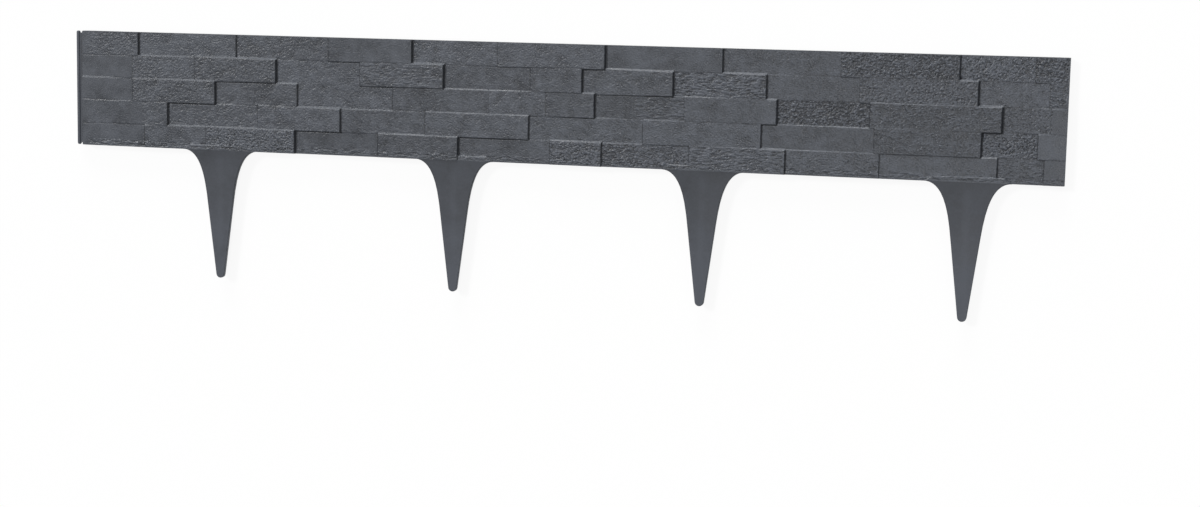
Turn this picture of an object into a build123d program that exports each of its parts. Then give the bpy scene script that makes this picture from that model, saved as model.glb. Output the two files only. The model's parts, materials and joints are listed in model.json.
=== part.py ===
from build123d import *
import math
import os

# One moulded panel of stone-look lawn edging, lying on its back with its face up.
# The model is drawn in the panel's own frame and moved to the part's origin at the end:
# X runs along the panel from its rod end, Y runs up from its bottom edge, and Z rises
# from the back plane to the face. All sizes are millimetres.

# Panel
PANEL_LENGTH = 780.0
PANEL_HEIGHT = 91.4
GROUND_HEIGHT = 6.0
WALL = 2.2
RIM = 2.0
FACE_CORNER_RADIUS = 1.0

# Stone relief: a face stands this steeply, and its root is sunk a little into the ground
STONE_DRAFT = 20.0
STONE_ROOT = 1.0
CORE_STEP_BACK = 0.6

# Rod at one end of the panel and the socket that takes the next panel's rod. Both lie a
# little below the ground of the face, and the gap leaves room to angle the panels.
ROD_RADIUS = 1.6
ROD_END_ROUND = 1.3
ROD_CLEARANCE = 0.2
CONNECTOR_DEPTH = 1.8
NECK_THICKNESS = 1.3
NECK_CLEARANCE = 0.25
SOCKET_WALL = 0.9
PANEL_GAP = 1.6

# Spikes
SPIKE_COUNT = 4
SPIKE_LENGTH = 101.8
SPIKE_PLATE = 3.0
SPIKE_FACE_HEIGHT = 9.0
SPIKE_SHIFT = 29.3
SPIKE_ROOT_HALF_WIDTH = 31.5
SPIKE_ROOT_DROP = 45.0
SPIKE_ROOT_PULL = 16.5
SPIKE_SHANK_PULL = 16.0
SPIKE_TAPER = 7.23
SPIKE_TIP_RADIUS = 3.4
SPIKE_APRON = 4.0
SPIKE_APRON_INSET = 5.5
SPIKE_EDGE_ROUND = 0.6

# Ribs behind the panel and the spikes
RIB = 1.6
RIBS_PER_SPIKE = 3
SPIKE_KEEL_TIP_DEPTH = 1.4
SPIKE_CROSS_RIBS = 4
SPIKE_CROSS_RIB_DEPTH = 4.0
SPIKE_CROSS_RIB_INSET = 1.5

# The courses of stones, from the top edge down. Each stone has its width, and the height
# of its face above the ground at its rod side and at its socket side.
COURSES = (
    (
        (50.0, 0.6, 2.5), (84.5, 0.6, 2.1), (78.0, 0.8, 1.5), (68.5, 1.9, 2.9),
        (69.5, 0.6, 1.5), (84.0, 1.9, 3.2), (90.0, 0.5, 2.4), (88.5, 0.6, 1.5),
        (85.0, 1.9, 2.7), (54.0, 0.6, 1.3), (23.5, 1.8, 1.8),
    ),
    (
        (45.0, 0.6, 2.3), (54.5, 2.2, 1.6), (69.0, 2.0, 3.6), (70.5, 1.3, 1.2),
        (68.0, 2.2, 3.3), (69.5, 0.9, 1.6), (40.5, 2.0, 3.1), (70.5, 0.9, 3.7),
        (70.5, 1.4, 3.2), (69.0, 1.3, 1.5), (85.0, 1.9, 3.0), (50.5, 0.6, 1.4),
        (13.0, 1.8, 1.8),
    ),
    (
        (45.0, 1.4, 2.1), (71.5, 2.5, 3.0), (70.0, 0.9, 2.8), (79.0, 1.3, 1.1),
        (78.0, 1.8, 2.2), (45.5, 2.6, 1.9), (38.0, 1.9, 3.1), (69.5, 0.9, 2.1),
        (69.5, 2.5, 3.2), (69.0, 1.1, 1.5), (94.5, 2.6, 3.6), (34.5, 0.7, 2.0),
        (11.5, 2.3, 2.3),
    ),
    (
        (75.5, 1.5, 2.9), (78.0, 0.8, 1.8), (69.0, 2.3, 3.6), (70.0, 1.8, 2.0),
        (83.0, 2.6, 3.3), (89.5, 1.7, 1.5), (89.5, 2.2, 3.0), (83.5, 1.4, 2.4),
        (77.0, 3.0, 3.3), (40.0, 0.9, 1.3), (20.0, 2.4, 2.4),
    ),
    (
        (55.5, 1.5, 2.4), (53.5, 2.9, 1.8), (75.5, 2.3, 3.6), (69.5, 1.3, 1.7),
        (65.0, 2.6, 3.7), (74.0, 1.3, 2.0), (40.0, 2.8, 3.9), (68.0, 2.2, 1.8),
        (72.0, 2.7, 3.9), (69.5, 2.3, 3.0), (84.5, 2.5, 2.4), (33.0, 1.0, 1.5),
        (15.0, 2.2, 2.2),
    ),
)

# Worked out from the sizes above
COURSE_HEIGHT = PANEL_HEIGHT / len(COURSES)
SOCKET_BORE = ROD_RADIUS + ROD_CLEARANCE
SOCKET_OUTER = SOCKET_BORE + SOCKET_WALL
CONNECTOR_HEIGHT = GROUND_HEIGHT - CONNECTOR_DEPTH
FACE_START = ROD_RADIUS + SOCKET_OUTER + PANEL_GAP
SOCKET_X = PANEL_LENGTH - SOCKET_OUTER
SPIKE_PITCH = PANEL_LENGTH / SPIKE_COUNT
SPIKE_BACK = SPIKE_FACE_HEIGHT - SPIKE_PLATE
RELIEF_TOP = max(height for course in COURSES for stone in course for height in stone[1:])
SKY = GROUND_HEIGHT + RELIEF_TOP + SPIKE_FACE_HEIGHT


def box(x0, x1, y0, y1, z0, z1):
    """A block between two corners."""
    return Pos(x0, y0, z0) * Box(x1 - x0, y1 - y0, z1 - z0, align=Align.MIN)


def spike_centres():
    """X of the centre line of each spike."""
    return [SPIKE_PITCH * (i + 0.5) + SPIKE_SHIFT for i in range(SPIKE_COUNT)]


def stones():
    """Each stone's cell on the face and the height of its face at both sides."""
    for row, course in enumerate(COURSES):
        y1 = PANEL_HEIGHT - row * COURSE_HEIGHT
        y0 = y1 - COURSE_HEIGHT
        stretch = (PANEL_LENGTH - FACE_START) / sum(width for width, _, _ in course)
        x0 = FACE_START
        for width, left, right in course:
            x1 = x0 + width * stretch
            yield x0, x1, y0, y1, GROUND_HEIGHT + left, GROUND_HEIGHT + right
            x0 = x1


def slope(x0, x1, z0, z1):
    """A plane that is level across the panel and rises from z0 to z1 along it."""
    along = Vector(x1 - x0, 0, z1 - z0)
    return Plane(origin=(x0, 0, z0), x_dir=along, z_dir=along.cross(Vector(0, 1, 0)))


def stone_block(x0, x1, y0, y1, left, right):
    """One stone, wider at its root, cut off along its sloping face."""
    root = GROUND_HEIGHT - STONE_ROOT
    rise = max(left, right) - root
    flare = rise * math.tan(math.radians(STONE_DRAFT))
    foot = Rectangle(x1 - x0 + 2 * flare, y1 - y0 + 2 * flare)
    foot = Pos((x0 + x1) / 2, (y0 + y1) / 2, root) * foot
    block = extrude(foot, rise, dir=(0, 0, 1), taper=STONE_DRAFT)
    return split(block, slope(x0, x1, left, right), keep=Keep.BOTTOM)


def core_block(x0, x1, y0, y1, left, right):
    """What the hollow behind one stone leaves standing: the wall of its face and beyond."""
    low = min(left, right) - WALL
    foot = Rectangle(x1 - x0 + 2 * CORE_STEP_BACK, y1 - y0 + 2 * CORE_STEP_BACK)
    foot = Pos((x0 + x1) / 2, (y0 + y1) / 2, low) * foot
    block = extrude(foot, SKY - low, dir=(0, 0, 1), taper=-STONE_DRAFT)
    return split(block, slope(x0, x1, left - WALL, right - WALL), keep=Keep.TOP)


def face_prism(z0, z1):
    """The outline of the face, with its corners rounded, as a prism."""
    width = PANEL_LENGTH - FACE_START
    outline = RectangleRounded(width, PANEL_HEIGHT, FACE_CORNER_RADIUS)
    outline = Pos(FACE_START + width / 2, PANEL_HEIGHT / 2, z0) * outline
    return extrude(outline, z1 - z0, dir=(0, 0, 1))


def relief():
    """The solid body of the panel with its stones."""
    blocks = [stone_block(*stone) for stone in stones()]
    body = face_prism(0, GROUND_HEIGHT).fuse(*blocks)
    return body & face_prism(0, SKY)


def hollow():
    """The space behind the face: open at the back, one wall deep of every stone."""
    left = FACE_START + WALL
    right = SOCKET_X - SOCKET_OUTER - RIM
    space = box(left, right, RIM, PANEL_HEIGHT - RIM, -1, SKY)
    return space.cut(*[core_block(*stone) for stone in stones()])


def ribs():
    """Upright ribs at the spikes and between them, and one rib along the panel."""
    made = []
    for centre in spike_centres():
        for i in range(RIBS_PER_SPIKE):
            x = centre - i * SPIKE_PITCH / RIBS_PER_SPIKE
            made.append(box(x - RIB / 2, x + RIB / 2, 0, PANEL_HEIGHT, 0, SKY))
    middle = PANEL_HEIGHT / 2
    made.append(box(FACE_START, SOCKET_X, middle - RIB / 2, middle + RIB / 2, 0, SKY))
    return made


def spike_flank(y):
    """Half the width between the straight lines that a spike's flanks run along."""
    lean = math.radians(SPIKE_TAPER)
    end_y = SPIKE_TIP_RADIUS * (1 - math.sin(lean)) - SPIKE_LENGTH
    return SPIKE_TIP_RADIUS * math.cos(lean) + (y - end_y) * math.tan(lean)


def spike_outline():
    """A spike seen from the front, centred on X = 0, with its apron on the panel."""
    lean = math.radians(SPIKE_TAPER)
    end_y = SPIKE_TIP_RADIUS * (1 - math.sin(lean)) - SPIKE_LENGTH
    end = Vector(spike_flank(end_y), end_y)
    shank = Vector(spike_flank(-SPIKE_ROOT_DROP), -SPIKE_ROOT_DROP)
    pull = Vector(math.tan(lean), 1) * SPIKE_SHANK_PULL
    root = Vector(SPIKE_ROOT_HALF_WIDTH, 0)
    brow = Vector(SPIKE_ROOT_HALF_WIDTH - SPIKE_APRON_INSET, SPIKE_APRON)
    side = Bezier(root, root - (SPIKE_ROOT_PULL, 0), shank + pull, shank)
    half = Curve() + [
        Line((0, SPIKE_APRON), brow),
        Line(brow, root),
        side,
        Line(shank, end),
        RadiusArc(end, (0, -SPIKE_LENGTH), SPIKE_TIP_RADIUS),
    ]
    return make_face(half + mirror(half, Plane.YZ))


def spike_plate():
    """The plate of one spike, with its front edge rounded below the panel."""
    plate = extrude(Pos(0, 0, SPIKE_BACK) * spike_outline(), SPIKE_PLATE, dir=(0, 0, 1))
    front = plate.faces().sort_by(Axis.Z)[-1]
    below = [edge for edge in front.edges() if edge.center().Y < 0]
    return fillet(below, SPIKE_EDGE_ROUND)


def keel_foot(y):
    """Z of the lower edge of a spike's centre rib, which rises from the back plane."""
    return (SPIKE_BACK - SPIKE_KEEL_TIP_DEPTH) * -y / SPIKE_LENGTH


def keel():
    """The centre rib behind one spike."""
    outline = Polyline(
        (0, 0), (0, SPIKE_BACK), (-SPIKE_LENGTH, SPIKE_BACK),
        (-SPIKE_LENGTH, keel_foot(-SPIKE_LENGTH)), (0, 0),
    )
    rib = extrude(Plane.YZ * make_face(outline), RIB / 2, both=True)
    return rib & extrude(spike_outline(), SPIKE_BACK, dir=(0, 0, 1))


def gusset(y):
    """A cross rib behind one spike, deepest at the centre rib and ending short of the flanks."""
    half = spike_flank(y) - SPIKE_CROSS_RIB_INSET
    foot = max(SPIKE_BACK - SPIKE_CROSS_RIB_DEPTH, keel_foot(y))
    outline = Polyline((-half, SPIKE_BACK), (half, SPIKE_BACK), (0, foot), (-half, SPIKE_BACK))
    return Pos(0, y, 0) * extrude(Plane.XZ * make_face(outline), RIB / 2, both=True)


def spike():
    """One spike: a plate with the sloping centre rib and the cross ribs behind it."""
    spacing = SPIKE_LENGTH / (SPIKE_CROSS_RIBS + 1)
    gussets = [gusset(-spacing * (i + 1)) for i in range(SPIKE_CROSS_RIBS)]
    return spike_plate().fuse(keel(), *gussets)


def rod():
    """The rod that the next panel's socket takes, on its neck along the end wall."""
    axis = Plane(origin=(ROD_RADIUS, 0, CONNECTOR_HEIGHT), z_dir=(0, 1, 0))
    bar = extrude(axis * Circle(ROD_RADIUS), PANEL_HEIGHT)
    end_round = min(ROD_END_ROUND, 0.9 * ROD_RADIUS)
    bar = fillet(bar.edges().filter_by(GeomType.CIRCLE), end_round)
    half = NECK_THICKNESS / 2
    neck = box(ROD_RADIUS, FACE_START + WALL, ROD_RADIUS, PANEL_HEIGHT - ROD_RADIUS,
               CONNECTOR_HEIGHT - half, CONNECTOR_HEIGHT + half)
    return bar + neck


def socket():
    """The wall round the socket, joined to the face above it."""
    axis = Plane(origin=(SOCKET_X, 0, CONNECTOR_HEIGHT), z_dir=(0, 1, 0))
    tube = extrude(axis * Circle(SOCKET_OUTER), PANEL_HEIGHT)
    web = box(SOCKET_X - SOCKET_OUTER, PANEL_LENGTH, 0, PANEL_HEIGHT,
              CONNECTOR_HEIGHT, GROUND_HEIGHT)
    return tube + web


def socket_space():
    """What is cut away for the rod and its neck, and beside the socket."""
    axis = Plane(origin=(SOCKET_X, 0, CONNECTOR_HEIGHT), z_dir=(0, 1, 0))
    bore = extrude(axis * Circle(SOCKET_BORE), PANEL_HEIGHT)
    half = NECK_THICKNESS / 2 + NECK_CLEARANCE
    slot = box(SOCKET_X, PANEL_LENGTH, 0, PANEL_HEIGHT,
               CONNECTOR_HEIGHT - half, CONNECTOR_HEIGHT + half)
    return bore + slot


def panel():
    """The whole moulding in its own frame."""
    corner = box(SOCKET_X - SOCKET_OUTER, PANEL_LENGTH, 0, PANEL_HEIGHT, 0, CONNECTOR_HEIGHT)
    space = hollow().cut(*ribs())
    body = relief().cut(space, corner)
    spikes = [Pos(x, 0, 0) * spike() for x in spike_centres()]
    body = body.fuse(rod(), socket(), *spikes)
    return body.cut(socket_space())


os.makedirs("parts", exist_ok=True)
edging_panel = Pos(-PANEL_LENGTH / 2, (SPIKE_LENGTH - PANEL_HEIGHT) / 2, 0) * panel()
edging_panel.label = "edging_panel"
export_step(edging_panel, "parts/edging_panel.step")
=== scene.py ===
"""The looks of a stone-look lawn edging panel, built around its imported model.

The panel lies on its back. X runs along it from the rod to the socket, Y runs up from the
spike tips to the top edge, and Z comes out of the stone face. Everything is in metres.
"""

import json
import logging
import math
from dataclasses import dataclass, field
from enum import Enum
from typing import Any, ClassVar

import bmesh
import bpy
import numpy as np
from mathutils import Matrix, Vector
from mathutils.bvhtree import BVHTree

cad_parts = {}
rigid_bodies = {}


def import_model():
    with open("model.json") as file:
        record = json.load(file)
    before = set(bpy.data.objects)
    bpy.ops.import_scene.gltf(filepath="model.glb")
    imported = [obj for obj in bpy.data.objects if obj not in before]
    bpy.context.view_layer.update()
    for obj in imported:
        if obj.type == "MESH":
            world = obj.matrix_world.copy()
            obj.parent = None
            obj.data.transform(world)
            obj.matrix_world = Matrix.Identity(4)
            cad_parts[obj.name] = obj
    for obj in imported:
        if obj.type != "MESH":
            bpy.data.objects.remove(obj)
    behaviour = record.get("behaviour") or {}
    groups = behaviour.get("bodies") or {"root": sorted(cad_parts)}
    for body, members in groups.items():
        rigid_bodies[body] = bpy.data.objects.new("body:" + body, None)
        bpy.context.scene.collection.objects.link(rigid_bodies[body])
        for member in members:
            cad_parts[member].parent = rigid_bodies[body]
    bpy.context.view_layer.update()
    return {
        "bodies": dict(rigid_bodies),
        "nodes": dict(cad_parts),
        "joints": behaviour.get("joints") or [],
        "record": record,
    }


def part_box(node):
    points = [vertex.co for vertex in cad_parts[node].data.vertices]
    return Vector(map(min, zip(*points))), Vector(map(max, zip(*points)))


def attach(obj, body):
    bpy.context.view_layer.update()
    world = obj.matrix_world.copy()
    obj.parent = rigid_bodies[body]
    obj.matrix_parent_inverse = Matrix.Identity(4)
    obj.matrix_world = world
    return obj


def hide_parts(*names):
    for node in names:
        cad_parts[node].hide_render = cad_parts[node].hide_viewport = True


MM = 0.001
NODE = "edging_panel"
BODY = "root"
COURSES = 5
MIDDLE = 0.5

log = logging.getLogger("edging")


class Side(Enum):
    """Which way a tree's sockets face."""

    IN = "INPUT"
    OUT = "OUTPUT"


class Relief(Enum):
    """The ways in which the mould maker roughened a stone."""

    SPECKLE = "speckle"
    STREAK = "streak"
    CHISEL = "chisel"
    PLAIN = "plain"


@dataclass(frozen=True)
class Noise:
    """A noise: the length of its features in metres, its finer layers and how far it is bent."""

    size: float
    detail: float = 2.0
    rough: float = 0.5
    bend: float = 0.0


class Graph:
    """Short calls that build a node tree."""

    def __init__(self, tree: bpy.types.NodeTree) -> None:
        """Takes the tree to build in.

        Args:
            tree: the node tree that the calls add to.
        """
        self.tree = tree

    def socket(self, name: str, kind: str, side: Side, value: Any = None) -> None:
        """Gives the tree an input or output.

        Args:
            name: the socket's name.
            kind: its type, such as NodeSocketFloat.
            side: whether it goes in or comes out.
            value: its value where nothing is linked.
        """
        made = self.tree.interface.new_socket(name, in_out=side.value, socket_type=kind)
        if value is not None:
            made.default_value = value

    def add(self, kind: str, inputs: dict | None = None, **settings: Any) -> bpy.types.Node:
        """Adds a node.

        Args:
            kind: the node's type.
            inputs: what each of its sockets gets, a value or another node's socket.
            settings: the node's own properties.

        Returns:
            The new node.
        """
        node = self.tree.nodes.new(kind)
        for name, value in settings.items():
            setattr(node, name, value)
        for key, value in (inputs or {}).items():
            self.feed(node.inputs[key], value)
        return node

    def feed(self, socket: bpy.types.NodeSocket, value: Any) -> None:
        """Links a socket, or sets its value.

        Args:
            socket: the socket to fill.
            value: a socket to link from, or a plain value.
        """
        if isinstance(value, bpy.types.NodeSocket):
            self.tree.links.new(value, socket)
        else:
            socket.default_value = value

    def math(self, operation: str, *values: Any, clamp: bool = False) -> bpy.types.NodeSocket:
        """Works out a number.

        Args:
            operation: the Math node's operation.
            values: its inputs in order.
            clamp: whether the result stays between 0 and 1.

        Returns:
            The result's socket.
        """
        node = self.add("ShaderNodeMath", operation=operation, use_clamp=clamp)
        for i, value in enumerate(values):
            self.feed(node.inputs[i], value)
        return node.outputs[0]

    def chain(self, operation: str, *values: Any) -> bpy.types.NodeSocket:
        """Joins several numbers with one operation, such as a sum or a product.

        Args:
            operation: the Math node's operation.
            values: the numbers, two or more.

        Returns:
            The result's socket.
        """
        result = values[0]
        for value in values[1:]:
            result = self.math(operation, result, value)
        return result

    def vector(self, operation: str, *values: Any) -> bpy.types.NodeSocket:
        """Works out a vector.

        Args:
            operation: the Vector Math node's operation.
            values: its vector inputs in order.

        Returns:
            The result's socket.
        """
        node = self.add("ShaderNodeVectorMath", operation=operation)
        for i, value in enumerate(values):
            self.feed(node.inputs[i], value)
        return node.outputs[0]

    def times(self, vector: Any, factor: Any) -> bpy.types.NodeSocket:
        """A vector times a number.

        Args:
            vector: the vector.
            factor: the number.

        Returns:
            The scaled vector's socket.
        """
        node = self.add("ShaderNodeVectorMath", {"Vector": vector, "Scale": factor}, operation="SCALE")
        return node.outputs[0]

    def parts(self, vector: Any) -> tuple[bpy.types.NodeSocket, ...]:
        """Splits a vector into its three numbers.

        Args:
            vector: the vector.

        Returns:
            The sockets of x, y and z.
        """
        return tuple(self.add("ShaderNodeSeparateXYZ", {"Vector": vector}).outputs)

    def joined(self, x: Any, y: Any, z: Any) -> bpy.types.NodeSocket:
        """Makes a vector of three numbers.

        Args:
            x: the first number.
            y: the second.
            z: the third.

        Returns:
            The vector's socket.
        """
        return self.add("ShaderNodeCombineXYZ", {"X": x, "Y": y, "Z": z}).outputs[0]

    def ramp(self, value: Any, low: Any, high: Any, start: float = 0.0, end: float = 1.0) -> Any:
        """Maps a number smoothly from one range onto another.

        Args:
            value: the number.
            low: where the ramp starts.
            high: where it ends.
            start: the result at low.
            end: the result at high.

        Returns:
            The result's socket.
        """
        node = self.add("ShaderNodeMapRange", interpolation_type="SMOOTHSTEP")
        for i, number in enumerate((value, low, high, start, end)):
            self.feed(node.inputs[i], number)
        return node.outputs[0]

    def depth(self, value: Any, low: Any, high: Any) -> bpy.types.NodeSocket:
        """How far a number lies inside a range, which is below 0 outside it.

        Args:
            value: the number.
            low: the start of the range.
            high: its end.

        Returns:
            The distance's socket.
        """
        return self.math("MINIMUM", self.math("SUBTRACT", value, low), self.math("SUBTRACT", high, value))

    def distance(self, value: Any, other: Any) -> bpy.types.NodeSocket:
        """How far two numbers are apart.

        Args:
            value: the one number.
            other: the other.

        Returns:
            The distance's socket.
        """
        return self.math("ABSOLUTE", self.math("SUBTRACT", value, other))

    def noise(self, vector: Any, kind: Noise, size: bpy.types.NodeSocket | None = None) -> bpy.types.Node:
        """Adds a noise whose features are about one size.

        Args:
            vector: the place.
            kind: the noise's size and layers.
            size: the socket that gives the size, where it takes the place of the kind's own.

        Returns:
            The noise node.
        """
        scale = 1.0 / kind.size if size is None else self.math("DIVIDE", 1.0, size)
        layers = {"Detail": kind.detail, "Roughness": kind.rough, "Distortion": kind.bend}
        inputs = {"Vector": vector, "Scale": scale, **layers}
        return self.add("ShaderNodeTexNoise", inputs, noise_dimensions="3D")


@dataclass(frozen=True)
class Outline:
    """Where the panel's parts lie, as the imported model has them."""

    rod_zone: ClassVar[float] = 8 * MM
    above_rod: ClassVar[float] = 0.3 * MM
    below_panel: ClassVar[float] = 5 * MM
    face_low: Vector
    face_high: Vector
    plate_level: float
    spike_tip: float
    spikes: tuple[float, ...]

    @classmethod
    def read(cls, frame: dict) -> "Outline":
        """Measures the solid and reads its mounts.


        Returns:
            The panel's outline.
        """
        low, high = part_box(NODE)
        places = [v.co for v in frame["nodes"][NODE].data.vertices]
        mounts = {mount["name"]: mount for mount in frame["record"]["mounts"]}
        rod_top = mounts["rod"]["pos_m"][2] + mounts["rod"]["dims"]["r_mm"] * MM
        bottom = min(p.y for p in places if p.x < low.x + cls.rod_zone)
        face_start = min(p.x for p in places if p.z > rod_top + cls.above_rod)
        plate_level = max(p.z for p in places if p.y < bottom - cls.below_panel)
        spikes = tuple(mount["pos_m"][0] for name, mount in mounts.items() if name.startswith("spike"))
        return cls(Vector((face_start, bottom, 0.0)), Vector(high), plate_level, low.y, spikes)

    @property
    def course_height(self) -> float:
        """The height of one course of stones."""
        return (self.face_high.y - self.face_low.y) / COURSES

    @property
    def pitch(self) -> float:
        """The distance from spike to spike."""
        return self.spikes[1] - self.spikes[0]


@dataclass(frozen=True)
class Patch:
    """A stretch of one course with a relief of its own.

    The stretch is given in millimetres from the rod's outer side, and the course is counted
    from the top edge down.
    """

    course: int
    start: float
    end: float
    relief: Relief
    strength: float = 1.0


class MouldedGrain:
    """The fine pimples and the soft clouds of tone that the mould leaves on every surface."""

    name = "moulded_grain"
    pimples = Noise(1 * MM, 4.0, 0.6)
    clouds = Noise(40 * MM, 3.0, 0.55, 0.4)

    @classmethod
    def tree(cls) -> bpy.types.NodeTree:
        """Gives the shader node group, which is built once.

        Returns:
            The group.
        """
        found = bpy.data.node_groups.get(cls.name)
        if found:
            return found
        tree = bpy.data.node_groups.new(cls.name, "ShaderNodeTree")
        g = Graph(tree)
        g.socket("Place", "NodeSocketVector", Side.IN)
        g.socket("Pimple Size", "NodeSocketFloat", Side.IN, cls.pimples.size)
        g.socket("Cloud Size", "NodeSocketFloat", Side.IN, cls.clouds.size)
        g.socket("Pimples", "NodeSocketFloat", Side.OUT)
        g.socket("Clouds", "NodeSocketFloat", Side.OUT)
        group = g.add("NodeGroupInput").outputs
        pimples = g.noise(group["Place"], cls.pimples, group["Pimple Size"]).outputs[0]
        clouds = g.noise(group["Place"], cls.clouds, group["Cloud Size"]).outputs[0]
        g.add("NodeGroupOutput", {"Pimples": pimples, "Clouds": clouds})
        return tree


@dataclass(frozen=True)
class SpikeMarks:
    """The faint hollows on the spikes' fronts over the ribs behind them, and the painted shade down a spike.
    """

    rungs: int = 5
    spine: tuple[float, float] = (0.5 * MM, 4.5 * MM)
    rung: tuple[float, float] = (0.3 * MM, 2.2 * MM)
    rung_width: tuple[float, float] = (4 * MM, 11 * MM)
    rung_share: float = 0.6
    front_margin: float = 0.7 * MM
    root: float = 8 * MM
    shaded: tuple[float, float] = (0.05, 0.95)

    def masks(self, g: Graph, place: Any, outline: Outline) -> tuple[bpy.types.NodeSocket, ...]:
        """Marks the hollows and the way down the spike.

        Args:
            g: the material's graph.
            place: the point on the surface.
            outline: where the spikes lie.

        Returns:
            A mask that is 1 in the middle of a hollow, and a ramp of painted shade from 0 at the root to 1 at
            the tip.
        """
        x, y, z = g.parts(place)
        half_pitch = outline.pitch / 2
        wrapped = g.math("WRAP", g.math("SUBTRACT", x, outline.spikes[0]), half_pitch, -half_pitch)
        across = g.math("ABSOLUTE", wrapped)
        length = outline.face_low.y - outline.spike_tip
        half_step = length / self.rungs / 2
        below = g.math("SUBTRACT", outline.face_low.y, y)
        along = g.math("ABSOLUTE", g.math("WRAP", below, half_step, -half_step))
        spine = g.ramp(across, *self.spine, 1.0, 0.0)
        bar = g.ramp(along, *self.rung, self.rung_share, 0.0)
        rung = g.math("MULTIPLY", bar, g.ramp(across, *self.rung_width, 1.0, 0.0))
        front = g.math("GREATER_THAN", z, outline.plate_level - self.front_margin)
        free = g.ramp(below, 0.0, self.root)
        # Painted shade ramp: 0 at the spike's root, 1 at its tip.
        down = g.ramp(below, *(share * length for share in self.shaded))
        return g.chain("MULTIPLY", g.math("MAXIMUM", spine, rung), front, free), down


@dataclass(frozen=True)
class Anthracite:
    """The finish of the moulded plastic. The tones say how far each pattern shifts the colour, and several of
    them paint light and shade.
    """

    name: str
    dark: tuple[float, float, float, float]
    light: tuple[float, float, float, float]
    roughness: tuple[float, float]
    bump: float
    pimple_size: float
    cloud_size: float
    # Painted shade: the colour follows the pimples' height, darker in their dips.
    pimple_shade: float
    cloud_tone: float
    cloud_range: tuple[float, float] = (0.3, 0.7)
    stone_tone: float = 0.0
    # Painted shade: how far the relief darkens the grain's dips and the joint grooves and lightens its high
    # spots.
    relief_shade: float = 0.0
    # Painted highlight: a paler colour laid along the stones' upper edges, where the light catches them.
    worn: tuple[float, float, float, float] | None = None
    marks: SpikeMarks | None = None
    sink_depth: float = 0.0
    # Painted sheen: the colour is lighter over the spike hollows.
    sink_sheen: float = 0.0
    # Painted shade: darker at the spike roots, lighter at the tips.
    spike_shade: float = 0.0
    # Painted light: how much lighter the rod is coloured.
    rod_light: float = 0.0
    rod_edge: tuple[float, float] = (2.6 * MM, 2.2 * MM)

    def attribute(self, g: Graph, name: str) -> bpy.types.NodeSocket:
        """Reads a number that the mesh carries.

        Args:
            g: the material's graph.
            name: the attribute's name.

        Returns:
            The number's socket.
        """
        return g.add("ShaderNodeAttribute", attribute_name=name).outputs["Fac"]

    def blend(self, g: Graph, factor: Any, first: Any, second: Any) -> bpy.types.NodeSocket:
        """Mixes two colours.

        Args:
            g: the material's graph.
            factor: how much of the second there is.
            first: the one colour.
            second: the other.

        Returns:
            The mixed colour's socket.
        """
        node = g.add("ShaderNodeMix", {"Factor": factor}, data_type="RGBA")
        g.feed(node.inputs["A"], first)
        g.feed(node.inputs["B"], second)
        return next(socket for socket in node.outputs if socket.type == "RGBA")

    def material(self, outline: Outline) -> bpy.types.Material:
        """Builds the material.

        Args:
            outline: where the spikes and the rod lie, for the marks and tones on them.

        Returns:
            A new material.
        """
        made = bpy.data.materials.new(self.name)
        made.use_nodes = True
        made.node_tree.nodes.clear()
        g = Graph(made.node_tree)
        place = g.add("ShaderNodeTexCoord").outputs["Object"]
        sizes = {"Place": place, "Pimple Size": self.pimple_size, "Cloud Size": self.cloud_size}
        grain = g.add("ShaderNodeGroup", sizes, node_tree=MouldedGrain.tree())
        height, clouds = grain.outputs["Pimples"], grain.outputs["Clouds"]
        # Painted shade: the pimples' dips come out darker and their tops lighter; the clouds are a random
        # tone.
        tones = [(height, self.pimple_shade), (clouds, self.cloud_tone)]
        if self.stone_tone:
            tones.append((self.attribute(g, "tone"), self.stone_tone))
            # Painted shade: darker in the grain's dips and the joint grooves, lighter on its high spots.
            tones.append((self.attribute(g, "relief"), self.relief_shade))
        mix = MIDDLE
        for value, weight in tones:
            mix = g.math("ADD", mix, g.math("MULTIPLY", g.math("SUBTRACT", value, MIDDLE), weight))
        if self.marks:
            # The spike ramp paints shade: darker at the root, lighter at the tip.
            sink, down = self.marks.masks(g, place, outline)
            # Painted light: the rod is coloured lighter than the rest.
            edge = (outline.face_low.x - margin for margin in self.rod_edge)
            rod = g.ramp(g.parts(place)[0], *edge, 1.0, 0.0)
            # Painted light on the smooth parts: a painted sheen over the hollows, painted shade down the
            # spikes and painted light on the rod.
            extras = ((sink, self.sink_sheen), (down, self.spike_shade), (rod, self.rod_light))
            mix = g.chain("ADD", mix, *[g.math("MULTIPLY", mask, weight) for mask, weight in extras])
            height = g.math("SUBTRACT", height, g.math("MULTIPLY", sink, self.sink_depth / self.bump))
        tint = self.blend(g, g.math("MULTIPLY", mix, 1.0, clamp=True), self.dark, self.light)
        # Painted highlight: the paler colour is mixed in along the stones' upper edges.
        if self.worn:
            tint = self.blend(g, self.attribute(g, "worn"), tint, self.worn)
        shine = g.ramp(clouds, *self.cloud_range, *self.roughness)
        bump = g.add("ShaderNodeBump", {"Height": height, "Distance": self.bump, "Strength": 1.0})
        surface = {"Base Color": tint, "Roughness": shine, "Normal": bump.outputs[0]}
        shader = g.add("ShaderNodeBsdfPrincipled", surface)
        g.add("ShaderNodeOutputMaterial", {"Surface": shader.outputs[0]})
        return made


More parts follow.
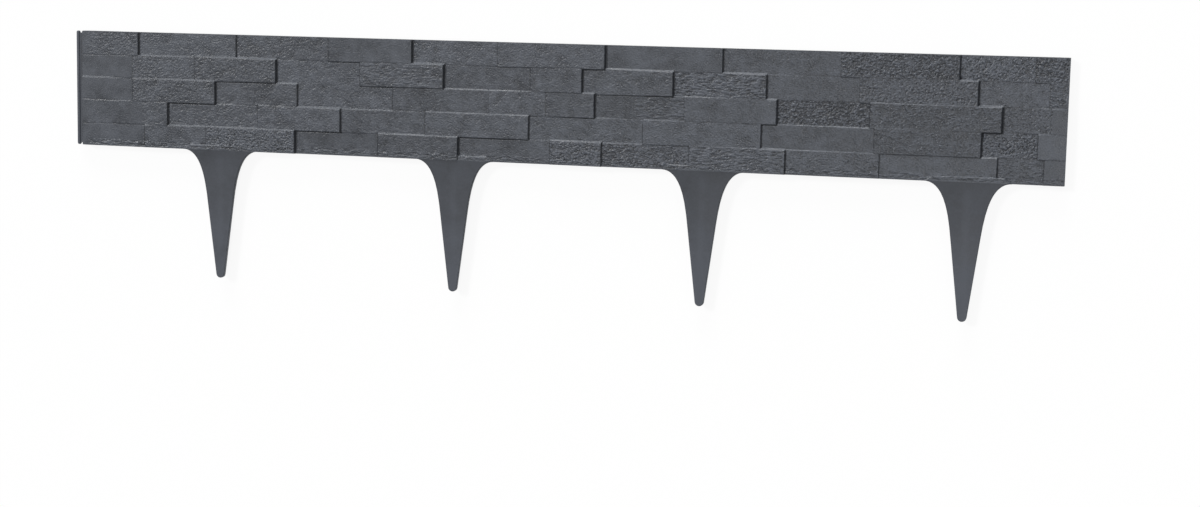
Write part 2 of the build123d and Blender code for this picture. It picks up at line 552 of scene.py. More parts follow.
STONE_FINISH = Anthracite(
    name="stone_moulded_anthracite",
    dark=(0.0240, 0.0270, 0.0330, 1.0),
    light=(0.0770, 0.0860, 0.1045, 1.0),
    roughness=(0.36, 0.48),
    bump=0.12 * MM,
    pimple_size=0.75 * MM,
    cloud_size=13 * MM,
    # Painted shade on the pimples.
    pimple_shade=0.9,
    cloud_tone=1.2,
    stone_tone=0.22,
    # Painted shade from the relief.
    relief_shade=1.7,
    # Painted highlight on the stones' upper edges.
    worn=(0.090, 0.099, 0.115, 1.0),
)
SMOOTH_FINISH = Anthracite(
    name="smooth_moulded_anthracite",
    dark=(0.0170, 0.0193, 0.0238, 1.0),
    light=(0.0610, 0.0683, 0.0843, 1.0),
    roughness=(0.50, 0.60),
    bump=0.02 * MM,
    pimple_size=1.6 * MM,
    cloud_size=22 * MM,
    # Painted shade on the pimples.
    pimple_shade=0.4,
    cloud_tone=0.9,
    marks=SpikeMarks(),
    sink_depth=0.04 * MM,
    # Painted sheen over the spike hollows.
    sink_sheen=0.12,
    # Painted shade down the spikes.
    spike_shade=0.45,
    # Painted light on the rod.
    rod_light=1.6,
)


def plain_mesh(source: bpy.types.Object, name: str) -> bpy.types.Object:
    """Turns an object's evaluated shape into a plain mesh object at the origin.

    Args:
        source: the object with its live modifiers. It is removed.
        name: the name of the new object.

    Returns:
        The new object.
    """
    bpy.context.view_layer.update()
    shape = source.evaluated_get(bpy.context.evaluated_depsgraph_get())
    mesh = bpy.data.meshes.new_from_object(shape)
    bpy.data.objects.remove(source)
    mesh.name = name
    made = bpy.data.objects.new(name, mesh)
    bpy.context.scene.collection.objects.link(made)
    return made


@dataclass(frozen=True)
class StoneGrain:
    """The noises that a stone's roughness is mixed from, each with its stretch, middle and strength."""

    stone_shift: float = 3.0
    stipple: Noise = Noise(1.05 * MM, 2.0, 0.65)
    stipple_stretch: tuple[float, float, float] = (0.9, 1.15, 1.0)
    swell: Noise = Noise(5.0 * MM, 1.0)
    swell_strength: float = 0.4
    speckle: Noise = Noise(1.25 * MM, 2.0, 0.65, 0.3)
    speckle_strength: float = 1.7
    pits: Noise = Noise(1.6 * MM, 2.0, 0.6, 0.4)
    pit_range: tuple[float, float] = (0.38, 0.52)
    pit_middle: float = 0.65
    pit_strength: float = 0.42
    streak: Noise = Noise(1.5 * MM, 2.5, 0.6, 0.5)
    streak_stretch: tuple[float, float, float] = (0.32, 1.35, 1.0)
    streak_strength: float = 2.0
    ridge: Noise = Noise(3.4 * MM, 3.0, 0.55, 1.4)
    ridge_stretch: tuple[float, float, float] = (0.55, 1.25, 1.0)
    ridge_middle: float = 0.18
    ridge_strength: float = 2.2
    chip_strength: float = 2.5

    def height(self, g: Graph, place: Any, chance: Any, masks: dict[Relief, Any], coarse: Any) -> Any:
        """Works out how far the grain stands up or lies down, as a share of the grain depth.

        Args:
            g: the sheet's graph.
            place: the point on the face.
            chance: the stone's own random colour.
            masks: where each relief lies.
            coarse: how coarse the plain stipple is here.

        Returns:
            The height's socket, which is about 0 on the average.
        """
        own = g.vector("ADD", place, g.times(chance, self.stone_shift))
        stipple = g.noise(g.vector("MULTIPLY", own, self.stipple_stretch), self.stipple).outputs[0]
        swell = g.noise(own, self.swell).outputs[0]
        speckle = g.noise(own, self.speckle).outputs[0]
        pits = g.ramp(g.noise(own, self.pits).outputs[0], *self.pit_range)
        streak = g.noise(g.vector("MULTIPLY", own, self.streak_stretch), self.streak).outputs[0]
        ridge = g.noise(g.vector("MULTIPLY", own, self.ridge_stretch), self.ridge).outputs[0]
        ridge = g.distance(g.math("MULTIPLY", ridge, 2.0), 1.0)
        plain = g.math("SUBTRACT", 1.0, masks[Relief.PLAIN])
        layers = (
            (stipple, MIDDLE, plain, coarse),
            (swell, MIDDLE, plain, self.swell_strength),
            (pits, self.pit_middle, masks[Relief.SPECKLE], self.pit_strength),
            (speckle, MIDDLE, masks[Relief.SPECKLE], self.speckle_strength),
            (streak, MIDDLE, masks[Relief.STREAK], self.streak_strength),
            (ridge, self.ridge_middle, masks[Relief.CHISEL], self.ridge_strength),
            (speckle, MIDDLE, masks[Relief.CHISEL], self.chip_strength),
        )
        total = 0.0
        for value, middle, mask, strength in layers:
            raised = g.math("SUBTRACT", value, middle)
            total = g.math("ADD", total, g.math("MULTIPLY", raised, g.math("MULTIPLY", mask, strength)))
        return total


@dataclass
class StoneFace:
    """The stone face: a fine sheet laid over the moulding's blocks, with joints and grain."""

    outline: Outline
    rows_per_course: int = 44
    corner_radius: float = 1.0 * MM
    inset: float = 0.02 * MM
    waver: float = 0.16 * MM
    wall_reach: float = 0.26 * MM
    joint_reach: float = 0.38 * MM
    joint_depth: float = 0.34 * MM
    joint_step: tuple[float, float] = (0.22 * MM, 0.5 * MM)
    seam_share: float = 0.62
    level_seam_share: float = 0.3
    brow: float = 0.60 * MM
    brow_steps: int = 3
    brow_share: float = 0.55
    # Painted highlight along the upper edges: the drop that brings it on, and the noise that breaks it into
    # patches.
    highlight_step: tuple[float, float] = (0.22 * MM, 0.55 * MM)
    grain_depth: float = 0.95 * MM
    apron_height: float = 4.3 * MM
    apron_fade: float = 1.5 * MM
    rod_margin: tuple[float, float] = (1.6 * MM, 8.0 * MM)
    rod_share: float = 0.05
    patch_fade: float = 1.0 * MM
    border_fade: tuple[float, float] = (0.2 * MM, 1.2 * MM)
    wide: Noise = Noise(9 * MM, 1.0)
    close: Noise = Noise(2.2 * MM, 2.0, 0.6)
    highlight_breakup: Noise = Noise(5 * MM, 3.0, 0.6)
    highlight_breakup_range: tuple[float, float] = (0.3, 0.65)
    highlight_breakup_share: tuple[float, float] = (0.35, 1.0)
    flush_step: tuple[float, float] = (0.08 * MM, 0.25 * MM)
    flat_facing: tuple[float, float] = (0.90, 0.97)
    coarse_share: tuple[float, float] = (0.80, 1.15)
    stone_share: tuple[float, float] = (0.85, 1.15)
    ragged_strength: float = 0.9
    weld: float = 1e-6
    crease_angle: float = 0.12
    ray_start: float = 50 * MM
    ray_length: float = 100 * MM
    mixture: StoneGrain = StoneGrain()
    # The sheet carries a random tone for each stone, the relief, and the painted highlight on the upper
    # edges.
    values: tuple[str, ...] = ("tone", "relief", "worn")
    names: tuple[str, ...] = ("course_bottom", "course_low", "course_middle", "course_high", "course_top")
    patches: tuple[Patch, ...] = (
        Patch(1, 22, 56, Relief.CHISEL, 0.30),
        Patch(1, 140, 218, Relief.SPECKLE, 0.35),
        Patch(1, 218, 286, Relief.PLAIN, 0.45),
        Patch(1, 439, 530, Relief.PLAIN, 0.35),
        Patch(1, 617, 703, Relief.CHISEL, 0.80),
        Patch(1, 702, 758, Relief.SPECKLE, 0.75),
        Patch(1, 756, 781, Relief.CHISEL, 0.65),
        Patch(2, 5, 51, Relief.PLAIN, 0.90),
        Patch(2, 50, 106, Relief.SPECKLE, 0.40),
        Patch(2, 104, 174, Relief.SPECKLE, 0.50),
        Patch(2, 243, 313, Relief.STREAK, 0.55),
        Patch(2, 492, 564, Relief.STREAK, 1.00),
        Patch(2, 631, 718, Relief.SPECKLE, 0.80),
        Patch(2, 766, 781, Relief.CHISEL, 0.40),
        Patch(3, 5, 51, Relief.PLAIN, 0.70),
        Patch(3, 50, 122, Relief.SPECKLE, 0.50),
        Patch(3, 463, 503, Relief.STREAK, 0.75),
        Patch(3, 501, 572, Relief.PLAIN, 0.30),
        Patch(3, 570, 641, Relief.CHISEL, 1.00),
        Patch(3, 639, 735, Relief.CHISEL, 0.50),
        Patch(3, 733, 770, Relief.SPECKLE, 0.60),
        Patch(3, 768, 781, Relief.PLAIN, 0.70),
        Patch(4, 5, 60, Relief.PLAIN, 0.60),
        Patch(4, 80, 160, Relief.SPECKLE, 0.25),
        Patch(4, 559, 644, Relief.PLAIN, 0.25),
        Patch(4, 642, 721, Relief.CHISEL, 0.40),
        Patch(4, 720, 760, Relief.SPECKLE, 1.00),
        Patch(4, 759, 781, Relief.PLAIN, 0.65),
        Patch(5, 5, 61, Relief.PLAIN, 0.65),
        Patch(5, 114, 191, Relief.SPECKLE, 0.75),
        Patch(5, 189, 261, Relief.PLAIN, 0.30),
        Patch(5, 397, 439, Relief.SPECKLE, 0.90),
        Patch(5, 437, 507, Relief.CHISEL, 0.45),
        Patch(5, 505, 579, Relief.STREAK, 0.85),
        Patch(5, 577, 649, Relief.SPECKLE, 0.35),
        Patch(5, 647, 733, Relief.PLAIN, 0.30),
        Patch(5, 731, 766, Relief.STREAK, 0.65),
        Patch(5, 764, 781, Relief.PLAIN, 0.75),
    )
    pieces: list[bpy.types.Object] = field(default_factory=list)

    def clamp_tree(self) -> bpy.types.NodeTree:
        """Builds the node group that keeps a place inside the face's rounded outline.

        Returns:
            The group.
        """
        tree = bpy.data.node_groups.new("keep_inside", "GeometryNodeTree")
        g = Graph(tree)
        g.socket("Place", "NodeSocketVector", Side.IN)
        g.socket("Inset", "NodeSocketFloat", Side.IN, 0.0)
        g.socket("Place", "NodeSocketVector", Side.OUT)
        group = g.add("NodeGroupInput").outputs
        low, high = self.outline.face_low, self.outline.face_high
        centre = ((low.x + high.x) / 2, (low.y + high.y) / 2, 0.0)
        half = Vector(((high.x - low.x) / 2, (high.y - low.y) / 2, 0.0))
        reach = half - Vector((self.corner_radius, self.corner_radius, 0.0))
        place = g.vector("SUBTRACT", group["Place"], centre)
        core = g.vector("MINIMUM", g.vector("MAXIMUM", place, tuple(-reach)), tuple(reach))
        out = g.vector("SUBTRACT", place, core)
        length = g.add("ShaderNodeVectorMath", {0: out}, operation="LENGTH").outputs["Value"]
        radius = g.math("SUBTRACT", self.corner_radius, group["Inset"])
        share = g.math("MINIMUM", g.math("DIVIDE", radius, g.math("MAXIMUM", length, 1e-9)), 1.0)
        kept = g.vector("ADD", g.vector("ADD", core, g.times(out, share)), centre)
        g.add("NodeGroupOutput", {"Place": kept})
        return tree

    def patch_tree(self) -> bpy.types.NodeTree:
        """Builds the node group that marks one stretch of one course.

        Returns:
            The group.
        """
        tree = bpy.data.node_groups.new("patch", "GeometryNodeTree")
        g = Graph(tree)
        g.socket("Place", "NodeSocketVector", Side.IN)
        for name in ("Start", "End", "Low", "High", "Strength"):
            g.socket(name, "NodeSocketFloat", Side.IN, 0.0)
        g.socket("Mask", "NodeSocketFloat", Side.OUT)
        group = g.add("NodeGroupInput").outputs
        x, y, _ = g.parts(group["Place"])
        depth_x = g.depth(x, group["Start"], group["End"])
        depth_y = g.depth(y, group["Low"], group["High"])
        mask = g.ramp(g.math("MINIMUM", depth_x, depth_y), 0.0, self.patch_fade)
        g.add("NodeGroupOutput", {"Mask": g.math("MULTIPLY", mask, group["Strength"])})
        return tree

    def look_tree(self) -> bpy.types.NodeTree:
        """Builds the node group that looks down on the solid from a place above it.

        Returns:
            The group.
        """
        tree = bpy.data.node_groups.new("look_down", "GeometryNodeTree")
        g = Graph(tree)
        g.socket("Target", "NodeSocketGeometry", Side.IN)
        g.socket("Stone Number", "NodeSocketFloat", Side.IN, 0.0)
        g.socket("Place", "NodeSocketVector", Side.IN)
        for name in ("Height", "Facing", "Stone"):
            g.socket(name, "NodeSocketFloat", Side.OUT)
        group = g.add("NodeGroupInput").outputs
        x, y, _ = g.parts(group["Place"])
        ray = g.add(
            "GeometryNodeRaycast",
            {
                "Target Geometry": group["Target"],
                "Attribute": group["Stone Number"],
                "Source Position": g.joined(x, y, self.ray_start),
                "Ray Direction": (0.0, 0.0, -1.0),
                "Ray Length": self.ray_length,
            },
            data_type="FLOAT",
            mapping="NEAREST",
        )
        height = g.parts(ray.outputs["Hit Position"])[2]
        facing = g.parts(ray.outputs["Hit Normal"])[2]
        g.add("NodeGroupOutput", {"Height": height, "Facing": facing, "Stone": ray.outputs["Attribute"]})
        return tree

    def reliefs(self, g: Graph, place: Any) -> dict[Relief, bpy.types.NodeSocket]:
        """Marks where each relief lies.

        Args:
            g: the sheet's graph.
            place: the point on the face.

        Returns:
            A mask for each relief.
        """
        patch_tree = self.patch_tree()
        rod_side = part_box(NODE)[0].x
        top, height = self.outline.face_high.y, self.outline.course_height
        masks: dict[Relief, Any] = {}
        for patch in self.patches:
            node = g.add("GeometryNodeGroup", node_tree=patch_tree)
            values = {
                "Place": place,
                "Start": rod_side + patch.start * MM,
                "End": rod_side + patch.end * MM,
                "Low": top - patch.course * height,
                "High": top - (patch.course - 1) * height,
                "Strength": patch.strength,
            }
            for name, value in values.items():
                g.feed(node.inputs[name], value)
            before = masks.get(patch.relief)
            mask = node.outputs["Mask"]
            masks[patch.relief] = mask if before is None else g.math("MAXIMUM", before, mask)
        return masks

    def numbered(self, g: Graph, panel: bpy.types.NodeSocket) -> dict[str, bpy.types.NodeSocket]:
        """Splits the solid along its creases and numbers the stones between them.

        Args:
            g: the sheet's graph.
            panel: the socket that gives the solid's object.

        Returns:
            The solid and its numbers, under the names that look_down gives its inputs.
        """
        solid = g.add("GeometryNodeObjectInfo", {"Object": panel}).outputs["Geometry"]
        merged = g.add("GeometryNodeMergeByDistance", {"Geometry": solid, "Distance": self.weld})
        angle = g.add("GeometryNodeInputMeshEdgeAngle").outputs["Unsigned Angle"]
        sharp = g.math("GREATER_THAN", angle, math.radians(self.crease_angle))
        faces = g.add("GeometryNodeSplitEdges", {"Mesh": merged.outputs[0], "Selection": sharp})
        number = g.add("GeometryNodeCaptureAttribute", {"Geometry": faces.outputs[0]})
        number.capture_items.new("FLOAT", "stone")
        g.feed(number.inputs["stone"], g.add("GeometryNodeInputMeshIsland").outputs["Island Index"])
        return {"Target": number.outputs["Geometry"], "Stone Number": number.outputs["stone"]}

    def joints(self, g: Graph, looks: list[Any]) -> bpy.types.NodeSocket:
        """Works out how deep the sheet is cut in at the edges of the stones.

        Args:
            g: the sheet's graph.
            looks: the looks down here, to the right, to the left, above and below.

        Returns:
            The cut's socket, as a share of the joint depth.
        """
        here, right, left, above, below = looks
        hit = here["Height"]
        highest = g.chain("MAXIMUM", *[look["Height"] for look in (right, left, above)])
        joint = g.ramp(g.math("SUBTRACT", highest, hit), *self.joint_step)
        beside = g.math("MAXIMUM", *[g.distance(look["Stone"], here["Stone"]) for look in (right, left)])
        across = g.math("MAXIMUM", *[g.distance(look["Stone"], here["Stone"]) for look in (above, below)])
        upright = g.math("GREATER_THAN", beside, MIDDLE)
        level = g.math("GREATER_THAN", across, MIDDLE)
        step = g.math("MAXIMUM", *[g.distance(look["Height"], hit) for look in (above, below)])
        flush = g.ramp(step, *self.flush_step, self.level_seam_share, 0.0)
        lines = (g.math("MULTIPLY", upright, self.seam_share), g.math("MULTIPLY", level, flush))
        return g.math("MAXIMUM", joint, g.math("MAXIMUM", *lines))

    def ledge(self, g: Graph, hit: Any, looks: list[Any]) -> tuple[bpy.types.NodeSocket, ...]:
        """Works out how far a stone's upper edge is rounded off.

        Args:
            g: the sheet's graph.
            hit: the solid's height here.
            looks: the looks down in steps above this place.

        Returns:
            How far the sheet sinks here, and how far the solid drops at the last step.
        """
        drops = [g.math("MAXIMUM", g.math("SUBTRACT", hit, look["Height"]), 0.0) for look in looks]
        sunk = g.math("MULTIPLY", g.chain("ADD", *drops), self.brow_share / self.brow_steps)
        return sunk, drops[-1]

    def tree(self, material: bpy.types.Material) -> bpy.types.NodeTree:
        """Builds the geometry tree of the sheet.

        Args:
            material: the finish of the sheet.

        Returns:
            The tree.
        """
        tree = bpy.data.node_groups.new("stone_face", "GeometryNodeTree")
        g = Graph(tree)
        g.socket("Geometry", "NodeSocketGeometry", Side.IN)
        g.socket("Panel", "NodeSocketObject", Side.IN)
        g.socket("Waver", "NodeSocketFloat", Side.IN, self.waver)
        g.socket("Joint Depth", "NodeSocketFloat", Side.IN, self.joint_depth)
        g.socket("Grain Depth", "NodeSocketFloat", Side.IN, self.grain_depth)
        g.socket("Geometry", "NodeSocketGeometry", Side.OUT)
        group = g.add("NodeGroupInput").outputs
        low, high = self.outline.face_low, self.outline.face_high
        width, tall = high.x - low.x, high.y - low.y
        rows = self.rows_per_course * COURSES
        columns = round(width / tall * rows)
        counts = {"Vertices X": columns + 1, "Vertices Y": rows + 1}
        grid = g.add("GeometryNodeMeshGrid", {"Size X": width, "Size Y": tall, **counts})
        centre = ((low.x + high.x) / 2, (low.y + high.y) / 2, 0.0)
        moved = g.add("GeometryNodeSetPosition", {"Geometry": grid.outputs["Mesh"], "Offset": centre})
        clamp_tree, look_tree = self.clamp_tree(), self.look_tree()
        raw = g.add("GeometryNodeInputPosition").outputs[0]
        place = self.group(g, clamp_tree, Place=raw)["Place"]
        x, y, _ = g.parts(place)

        border = g.math("MINIMUM", g.depth(x, low.x, high.x), g.depth(y, low.y, high.y))
        inside = g.ramp(border, *self.border_fade)
        apron_end = self.apron_height + self.apron_fade
        above_apron = g.ramp(g.math("SUBTRACT", y, low.y), self.apron_height, apron_end)

        wavers = [g.noise(place, kind).outputs[1] for kind in (self.wide, self.close)]
        centred = [g.vector("SUBTRACT", waver, (MIDDLE,) * 3) for waver in wavers]
        amount = g.chain("MULTIPLY", group["Waver"], inside, above_apron, 2.0)
        aim = g.vector("ADD", place, g.times(g.vector("ADD", *centred), amount))
        target = self.numbered(g, group["Panel"])

        def look(dx: float, dy: float) -> Any:
            """Looks down on the solid a little beside the aim."""
            beside = g.vector("ADD", aim, (dx, dy, 0.0))
            spot = self.group(g, clamp_tree, Place=beside, Inset=self.inset)["Place"]
            return self.group(g, look_tree, Place=spot, **target)

        aside, reach = self.wall_reach, self.joint_reach
        looks = [look(*shift) for shift in ((0, 0), (aside, 0), (-aside, 0), (0, reach), (0, -reach))]
        steps = [self.brow * step / self.brow_steps for step in range(1, self.brow_steps + 1)]
        hit = looks[0]["Height"]
        brow, drop = self.ledge(g, hit, [look(0.0, step) for step in steps])
        cut = g.math("MULTIPLY", self.joints(g, looks), inside)
        # Painted highlight: a paler colour where the solid drops away just above, broken into patches by a
        # noise.
        highlight_breakup = g.ramp(g.noise(place, self.highlight_breakup).outputs[0], *self.highlight_breakup_range, *self.highlight_breakup_share)
        worn = g.chain("MULTIPLY", g.ramp(drop, *self.highlight_step), highlight_breakup, inside)

        white = {"W": looks[0]["Stone"]}
        chance = g.add("ShaderNodeTexWhiteNoise", white, noise_dimensions="1D").outputs
        flat = g.ramp(looks[0]["Facing"], *self.flat_facing)
        rod_end = g.ramp(g.math("SUBTRACT", x, low.x), *self.rod_margin, self.rod_share, 1.0)
        coarse = g.ramp(x, low.x, high.x, *self.coarse_share)
        masks = self.reliefs(g, place)
        ragged = g.math("MULTIPLY", g.math("SUBTRACT", 1.0, above_apron), self.ragged_strength)
        masks[Relief.STREAK] = g.math("MAXIMUM", masks[Relief.STREAK], ragged)
        share = self.mixture.height(g, place, chance["Color"], masks, coarse)
        own = g.ramp(chance["Value"], 0.0, 1.0, *self.stone_share)
        share = g.math("MULTIPLY", g.math("MULTIPLY", share, own), g.chain("MULTIPLY", flat, inside, rod_end))
        height = g.math("ADD", hit, g.math("MULTIPLY", share, group["Grain Depth"]))
        height = g.chain("SUBTRACT", height, g.math("MULTIPLY", cut, group["Joint Depth"]), brow)
        lifted = g.joined(x, y, g.math("MINIMUM", height, high.z))

        # The relief number is the grain's height, lower in the joint grooves; it paints shade into the
        # colour.
        relief = g.math("SUBTRACT", g.math("ADD", share, MIDDLE), g.math("MULTIPLY", cut, MIDDLE))
        numbers = dict(zip(self.values, (chance["Value"], relief, worn)))
        stored = g.add("GeometryNodeCaptureAttribute", {"Geometry": moved.outputs[0]})
        for name, value in numbers.items():
            stored.capture_items.new("FLOAT", name)
            g.feed(stored.inputs[name], value)
        laid = {"Geometry": stored.outputs["Geometry"], "Position": lifted}
        geometry = g.add("GeometryNodeSetPosition", laid).outputs[0]
        for name in self.values:
            named = {"Geometry": geometry, "Name": name}
            node = g.add("GeometryNodeStoreNamedAttribute", named, data_type="FLOAT")
            g.feed(node.inputs["Value"], stored.outputs[name])
            geometry = node.outputs[0]
        shaded = g.add("GeometryNodeSetShadeSmooth", {"Geometry": geometry})
        real = g.add("GeometryNodeRealizeInstances", {"Geometry": shaded.outputs[0]})
        dressed = g.add("GeometryNodeSetMaterial", {"Geometry": real.outputs[0], "Material": material})
        g.add("NodeGroupOutput", {"Geometry": dressed.outputs[0]})
        return tree

    def group(self, g: Graph, tree: bpy.types.NodeTree, **inputs: Any) -> Any:
        """Places a node group in the sheet's tree.

        Args:
            g: the sheet's graph.
            tree: the group.
            inputs: what its sockets get, by their names.

        Returns:
            The group's outputs.
        """
        node = g.add("GeometryNodeGroup", node_tree=tree)
        for name, value in inputs.items():
            g.feed(node.inputs[name], value)
        return node.outputs

    def build(self, panel: bpy.types.Object, material: bpy.types.Material) -> None:
        """Makes the sheet and cuts it along the courses.

        Args:
            panel: the moulding that the sheet is laid on.
            material: the finish of the sheet.
        """
        carrier = bpy.data.objects.new("stone_face", bpy.data.meshes.new("stone_face"))
        bpy.context.scene.collection.objects.link(carrier)
        tree = self.tree(material)
        modifier = carrier.modifiers.new("stone_face", "NODES")
        modifier.node_group = tree
        panel_socket = next(s for s in tree.interface.items_tree if s.name == "Panel")
        modifier[panel_socket.identifier] = panel
        self.cut(plain_mesh(carrier, "stone_face"), material)

    def cut(self, whole: bpy.types.Object, material: bpy.types.Material) -> None:
        """Cuts the sheet into one piece for each course, with the whole sheet's shading.

        Args:
            whole: the sheet. It is removed.
            material: the finish of the pieces.
        """
        mesh = whole.data
        count = len(mesh.vertices)
        place = np.empty(count * 3, np.float32)
        mesh.vertices.foreach_get("co", place)
        place = place.reshape(-1, 3)
        normal = np.empty(count * 3, np.float32)
        mesh.vertex_normals.foreach_get("vector", normal)
        normal = normal.reshape(-1, 3)
        corners = np.empty(len(mesh.loops), np.int32)
        mesh.loops.foreach_get("vertex_index", corners)
        corners = corners.reshape(-1, 4)
        values = {}
        for name in self.values:
            values[name] = np.empty(count, np.float32)
            mesh.attributes[name].data.foreach_get("value", values[name])
        middle = place[corners, 1].mean(axis=1) - self.outline.face_low.y
        course = np.clip((middle / self.outline.course_height).astype(int), 0, COURSES - 1)
        for index, name in enumerate(self.names):
            used, faces = np.unique(corners[course == index], return_inverse=True)
            faces = faces.reshape(-1, 4)
            piece_mesh = bpy.data.meshes.new(name)
            piece_mesh.from_pydata(place[used], [], faces)
            piece_mesh.materials.append(material)
            piece_mesh.shade_smooth()
            for key, numbers in values.items():
                layer = piece_mesh.attributes.new(key, "FLOAT", "POINT")
                layer.data.foreach_set("value", numbers[used])
            piece_mesh.normals_split_custom_set_from_vertices(normal[used])
            piece = bpy.data.objects.new(name, piece_mesh)
            bpy.context.scene.collection.objects.link(piece)
            self.pieces.append(piece)
            log.info("%s: %d faces", name, len(faces))
        bpy.data.objects.remove(whole)


@dataclass
class Moulding:
    """The rest of the panel: rim, ribs, spikes, rod and socket, as the solid has them."""

    outline: Outline
    face_level: float = 5.5 * MM
    wall_margin: float = 0.3 * MM
    smooth_angle: float = 30.0
    flat_angle: float = 0.3
    upright: float = 0.2
    ray_lift: float = 0.01 * MM
    weld: float = 0.002 * MM
    cut_margin: float = 1e-7
    piece: bpy.types.Object | None = None

    def covered(self, face: bmesh.types.BMFace, solid: BVHTree) -> bool:
        """Tells whether the stone sheet takes the place of a face.

        Args:
            face: a face of the solid.
            solid: the solid, to look for what is above the face.

        Returns:
            True for the tops and sides of the stones and for the upper edges of the aprons.
        """
        low, high = self.outline.face_low, self.outline.face_high
        middle = face.calc_center_median()
        edge = min(middle.x - low.x, high.x - middle.x, middle.y - low.y, high.y - middle.y)
        if middle.z < self.face_level or edge < 0 or face.normal.z < -self.upright:
            return False
        if face.normal.z < self.upright and edge < self.wall_margin:
            return False
        start = middle + face.normal * self.ray_lift
        return solid.ray_cast(start, Vector((0.0, 0.0, 1.0)))[0] is None

    def build(self, panel: bpy.types.Object, material: bpy.types.Material) -> None:
        """Copies the solid without the part of its face that the sheet covers.

        Args:
            panel: the solid's object.
            material: the finish of the piece.
        """
        bm = bmesh.new()
        bm.from_mesh(panel.data)
        bmesh.ops.remove_doubles(bm, verts=bm.verts, dist=self.weld)
        geometry = bm.verts[:] + bm.edges[:] + bm.faces[:]
        plane = {"plane_co": (0, self.outline.face_low.y, 0), "plane_no": (0, 1, 0)}
        bmesh.ops.bisect_plane(bm, geom=geometry, dist=self.cut_margin, **plane)
        solid = BVHTree.FromBMesh(bm)
        bmesh.ops.delete(bm, geom=[f for f in bm.faces if self.covered(f, solid)], context="FACES")
        flat = math.radians(self.flat_angle)
        bmesh.ops.dissolve_limit(bm, angle_limit=flat, verts=bm.verts, edges=bm.edges)
        mesh = bpy.data.meshes.new("moulding")
        bm.to_mesh(mesh)
        bm.free()
        mesh.materials.append(material)
        mesh.shade_smooth()
        mesh.set_sharp_from_angle(angle=math.radians(self.smooth_angle))
        self.piece = bpy.data.objects.new("moulding", mesh)
        bpy.context.scene.collection.objects.link(self.piece)
        log.info("moulding: %d faces", len(mesh.polygons))


@dataclass(frozen=True)
class Lamp:
    """A far lamp, given by the share of a plain level that it lends to the panel's face."""

    name: str
    direction: tuple[float, float, float]
    level: float
    softness: float

    def build(self) -> None:
        """Places the lamp."""
        made = bpy.data.lights.new(self.name, "SUN")
        direction = Vector(self.direction).normalized()
        made.energy = math.pi * self.level / direction.z
        made.angle = math.radians(self.softness)
        placed = bpy.data.objects.new(self.name, made)
        placed.matrix_world = direction.to_track_quat("Z", "Y").to_matrix().to_4x4()
        bpy.context.scene.collection.objects.link(placed)


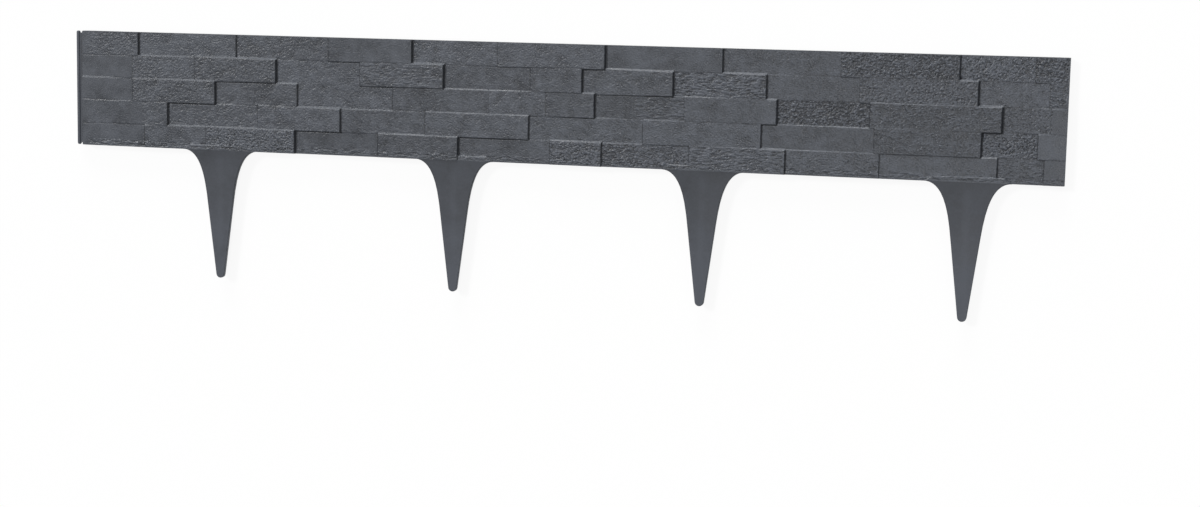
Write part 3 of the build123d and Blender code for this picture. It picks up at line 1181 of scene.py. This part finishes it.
@dataclass
class Studio:
    """The pale floor, the soft light and the camera."""

    floor_size: float = 8.0
    floor_colour: tuple[float, float, float, float] = (0.93, 0.93, 0.93, 1.0)
    floor_glow_share: float = 0.90
    sky_strength: float = 0.34
    lamps: tuple[Lamp, ...] = (
        Lamp("key", (-0.60, 0.36, 0.71), 0.35, 12.0),
        Lamp("top", (-0.12, 0.97, 0.22), 0.16, 26.0),
        Lamp("front", (0.14, -0.12, 1.00), 0.20, 20.0),
    )
    camera_place: tuple[float, float, float] = (0.42660, 0.13214, 1.48323)
    camera_target: tuple[float, float, float] = (0.04927, -0.06074, 0.0085)
    camera_roll: float = 1.24
    lens: float = 60.69
    sensor: float = 36.0

    def floor(self) -> None:
        """Lays the floor, which shows as white to the camera apart from faint shadows."""
        half = self.floor_size / 2
        mesh = bpy.data.meshes.new("floor")
        corners = [(-half, -half, 0), (half, -half, 0), (half, half, 0), (-half, half, 0)]
        mesh.from_pydata(corners, [], [(0, 1, 2, 3)])
        made = bpy.data.objects.new("floor", mesh)
        bpy.context.scene.collection.objects.link(made)
        material = bpy.data.materials.new("floor_white")
        material.use_nodes = True
        material.node_tree.nodes.clear()
        g = Graph(material.node_tree)
        matt = g.add("ShaderNodeBsdfDiffuse", {"Color": self.floor_colour})
        glow = g.add("ShaderNodeEmission", {"Color": (1.0, 1.0, 1.0, 1.0), "Strength": 1.0})
        path = g.add("ShaderNodeLightPath").outputs
        seen = g.math("MAXIMUM", path["Is Camera Ray"], path["Is Glossy Ray"])
        share = g.math("MULTIPLY", seen, self.floor_glow_share)
        mixed = g.add("ShaderNodeMixShader", {0: share, 1: matt.outputs[0], 2: glow.outputs[0]})
        g.add("ShaderNodeOutputMaterial", {"Surface": mixed.outputs[0]})
        mesh.materials.append(material)

    def sky(self) -> None:
        """Sets a pale even sky."""
        world = bpy.data.worlds.new("studio")
        bpy.context.scene.world = world
        world.use_nodes = True
        world.node_tree.nodes.clear()
        g = Graph(world.node_tree)
        sky = g.add("ShaderNodeBackground", {"Color": (1.0, 1.0, 1.0, 1.0), "Strength": self.sky_strength})
        g.add("ShaderNodeOutputWorld", {"Surface": sky.outputs[0]})

    def camera(self) -> None:
        """Sets the camera that looks down on the face."""
        data = bpy.data.cameras.new("camera")
        data.lens = self.lens
        data.sensor_width = self.sensor
        data.sensor_fit = "HORIZONTAL"
        back = (Vector(self.camera_place) - Vector(self.camera_target)).normalized()
        right = Vector((0.0, 1.0, 0.0)).cross(back).normalized()
        up = back.cross(right)
        turn = Matrix((right, up, back)).transposed()
        turn = turn @ Matrix.Rotation(math.radians(self.camera_roll), 3, "Z")
        made = bpy.data.objects.new("camera", data)
        made.matrix_world = Matrix.Translation(self.camera_place) @ turn.to_4x4()
        bpy.context.scene.collection.objects.link(made)
        bpy.context.scene.camera = made

    def build(self) -> None:
        """Sets up the whole studio."""
        self.floor()
        self.sky()
        for lamp in self.lamps:
            lamp.build()
        self.camera()
        bpy.context.scene.view_settings.view_transform = "Standard"


def main() -> None:
    """Builds the panel's looks and the studio around it."""
    logging.basicConfig(level=logging.INFO, format="%(name)s %(message)s")
    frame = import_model()
    panel = frame["nodes"][NODE]
    outline = Outline.read(frame)
    log.info("outline: %s", outline)
    face = StoneFace(outline)
    face.build(panel, STONE_FINISH.material(outline))
    moulding = Moulding(outline)
    moulding.build(panel, SMOOTH_FINISH.material(outline))
    for piece in face.pieces + [moulding.piece]:
        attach(piece, BODY)
        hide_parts(NODE)
    Studio().build()


if __name__ == "__main__":
    main()
